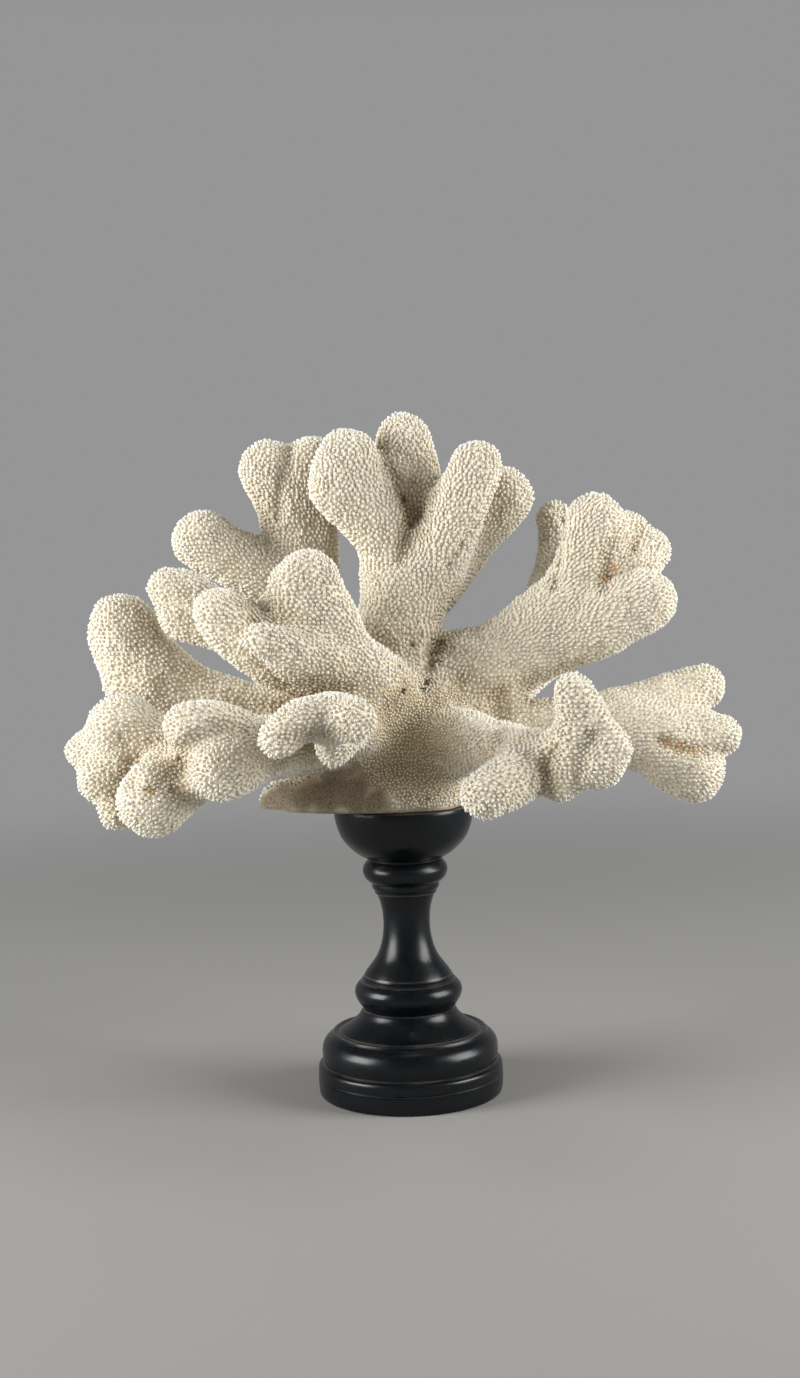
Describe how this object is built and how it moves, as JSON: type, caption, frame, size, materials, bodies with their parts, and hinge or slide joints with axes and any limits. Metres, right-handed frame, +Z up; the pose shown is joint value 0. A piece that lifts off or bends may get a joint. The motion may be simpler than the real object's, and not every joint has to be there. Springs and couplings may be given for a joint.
{
  "type": "branching coral on a turned stand",
  "caption": "Bleached branching coral with stubby, grain-covered fingers, cut flat underneath and resting on a black turned wooden stand.",
  "frame": {"origin": "centre of the underside of the stand's foot", "axes": "+Z up along the stand's axis; the side of the coral that the picture shows faces -Y, with +X to its right"},
  "size_m": [0.2618, 0.1895, 0.2726],
  "materials": {
    "black_stained_wood": "satin",
    "bleached_coral": "matte"
  },
  "bodies": {
    "root": {"stand": "black_stained_wood", "trunk": "bleached_coral", "branch_centre": "bleached_coral", "branch_back_left": "bleached_coral", "branch_upper_left": "bleached_coral", "branch_left": "bleached_coral", "branch_lower_left": "bleached_coral", "branch_front": "bleached_coral", "branch_right": "bleached_coral", "branch_lower_right": "bleached_coral", "branch_front_right": "bleached_coral", "branch_rear_left": "bleached_coral", "branch_rear": "bleached_coral", "branch_rear_right": "bleached_coral", "branch_rear_low": "bleached_coral"}
  },
  "joints": []
}
